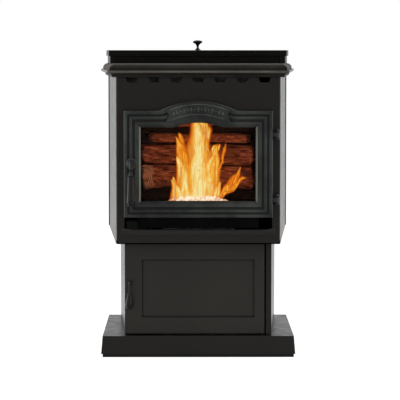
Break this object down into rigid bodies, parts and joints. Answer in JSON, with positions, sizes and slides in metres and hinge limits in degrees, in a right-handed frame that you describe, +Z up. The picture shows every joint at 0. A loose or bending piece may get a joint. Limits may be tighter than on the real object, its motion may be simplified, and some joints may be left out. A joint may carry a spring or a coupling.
{
  "type": "pellet stove",
  "caption": "Free-standing pedestal pellet stove with an arched glazed cast door, a moulded mantel, a rear hopper lid, an ash pan behind a pedestal door, and a flue collar at the back.",
  "frame": {"origin": "bottom centre of the stove's bounding box, on the floor", "axes": "+Z up, the door faces -Y, +X to the right seen from the front"},
  "size_m": [0.5708, 0.7046, 0.8644],
  "materials": {
    "casing_paint": "satin black stove paint",
    "plinth_paint": "satin black stove paint",
    "cast_iron": "painted casting, satin",
    "firebox_iron": "matt, sooted",
    "gloss_black": "gloss",
    "bright_steel": "plain",
    "galvanised": "galvanised sheet",
    "fired_log": "rough, fired",
    "rope": "woven glass rope",
    "black_plastic": "matt",
    "glass": "clear ceramic glass"
  },
  "bodies": {
    "stove": {"base_plinth": "plinth_paint", "pedestal_left_side": "casing_paint", "pedestal_right_side": "casing_paint", "pedestal_back": "casing_paint", "pedestal_top": "casing_paint", "ash_chute": "galvanised", "front_panel": "casing_paint", "left_side_panel": "casing_paint", "right_side_panel": "casing_paint", "floor_pan": "casing_paint", "rear_cover": "casing_paint", "ash_lip": "casing_paint", "mantel_top": "cast_iron", "hopper_neck": "casing_paint", "hopper_box": "galvanised", "lid_hinge_left": "bright_steel", "lid_hinge_right": "bright_steel", "control_panel": "casing_paint", "firebox_shell": "firebox_iron", "log_liner": "fired_log", "heat_exchanger": "bright_steel", "burn_pot": "firebox_iron", "burn_pot_grate": "firebox_iron", "igniter": "bright_steel", "auger_tube": "bright_steel", "feed_motor": "bright_steel", "exhaust_passage": "galvanised", "combustion_blower_housing": "firebox_iron", "combustion_blower_motor": "bright_steel", "flue_collar": "bright_steel", "burn_air_box": "galvanised", "air_intake_pipe": "galvanised", "distribution_blower_housing": "galvanised", "distribution_blower_motor": "bright_steel", "air_duct": "galvanised", "power_inlet": "black_plastic", "latch_keeper": "bright_steel", "upper_hinge_bracket": "cast_iron", "lower_hinge_bracket": "cast_iron", "upper_hinge_pin": "cast_iron", "lower_hinge_pin": "cast_iron"},
    "main_door": {"door_frame": "cast_iron", "door_glass": "glass", "glass_retainer": "firebox_iron", "door_gasket": "rope"},
    "main_handle": {"door_handle_spindle": "cast_iron", "door_handle_grip": "gloss_black"},
    "pedestal_door": {"pedestal_door": "casing_paint"},
    "pedestal_handle": {"pedestal_handle_spindle": "cast_iron", "pedestal_door_grip": "gloss_black"},
    "ash_pan": {"ash_pan": "galvanised"},
    "hopper_lid": {"hopper_lid": "casing_paint", "lid_knob": "gloss_black", "lid_gasket": "rope"},
    "feed_auger": {"feed_auger": "bright_steel"},
    "distribution_fan": {"distribution_fan_wheel": "galvanised"},
    "combustion_fan": {"combustion_fan_wheel": "bright_steel"},
    "heat_knob": {"heat_knob": "black_plastic"},
    "feed_knob": {"feed_knob": "black_plastic"},
    "power_switch": {"power_switch": "black_plastic"}
  },
  "joints": [
    {"name": "main_door_swing", "type": "hinge", "parent": "stove", "child": "main_door", "pos_m": [0.212, -0.30475, 0.525], "axis": [0, 0, 1], "range_deg": [0, 115]},
    {"name": "main_handle_turn", "type": "hinge", "parent": "main_door", "child": "main_handle", "pos_m": [-0.18, -0.31475, 0.532], "axis": [0, 1, 0], "range_deg": [0, 90]},
    {"name": "pedestal_door_swing", "type": "hinge", "parent": "stove", "child": "pedestal_door", "pos_m": [0.175, -0.23375, 0.185], "axis": [0, 0, 1], "range_deg": [0, 95]},
    {"name": "pedestal_handle_turn", "type": "hinge", "parent": "pedestal_door", "child": "pedestal_handle", "pos_m": [-0.186, -0.24275, 0.202], "axis": [0, 1, 0], "range_deg": [0, 90]},
    {"name": "ash_pan_slide", "type": "slide", "parent": "stove", "child": "ash_pan", "axis": [0, -1, 0], "range_m": [0, 0.183]},
    {"name": "hopper_lid_swing", "type": "hinge", "parent": "stove", "child": "hopper_lid", "pos_m": [0, 0.29975, 0.8222], "axis": [-1, 0, 0], "range_deg": [0, 95]},
    {"name": "feed_auger_spin", "type": "hinge", "parent": "stove", "child": "feed_auger", "pos_m": [0, 0.03725, 0.384], "axis": [0, 1, 0], "continuous": true},
    {"name": "distribution_fan_spin", "type": "hinge", "parent": "stove", "child": "distribution_fan", "pos_m": [-0.17, 0.10225, 0.41], "axis": [1, 0, 0], "continuous": true},
    {"name": "combustion_fan_spin", "type": "hinge", "parent": "stove", "child": "combustion_fan", "pos_m": [0.1543, 0.09725, 0.4], "axis": [1, 0, 0], "continuous": true},
    {"name": "heat_knob_turn", "type": "hinge", "parent": "stove", "child": "heat_knob", "pos_m": [0.2, 0.12925, 0.8005], "axis": [0, 0, 1], "range_deg": [0, 270]},
    {"name": "feed_knob_turn", "type": "hinge", "parent": "stove", "child": "feed_knob", "pos_m": [0.2, 0.18525, 0.8005], "axis": [0, 0, 1], "range_deg": [0, 270]},
    {"name": "power_switch_rock", "type": "hinge", "parent": "stove", "child": "power_switch", "pos_m": [0.2, 0.24125, 0.7995], "axis": [1, 0, 0], "range_deg": [0, 16]}
  ],
  "couplings": [
    {"joint": "ash_pan_slide", "follows": "pedestal_door_swing", "m_per_rad": 0.11}
  ]
}
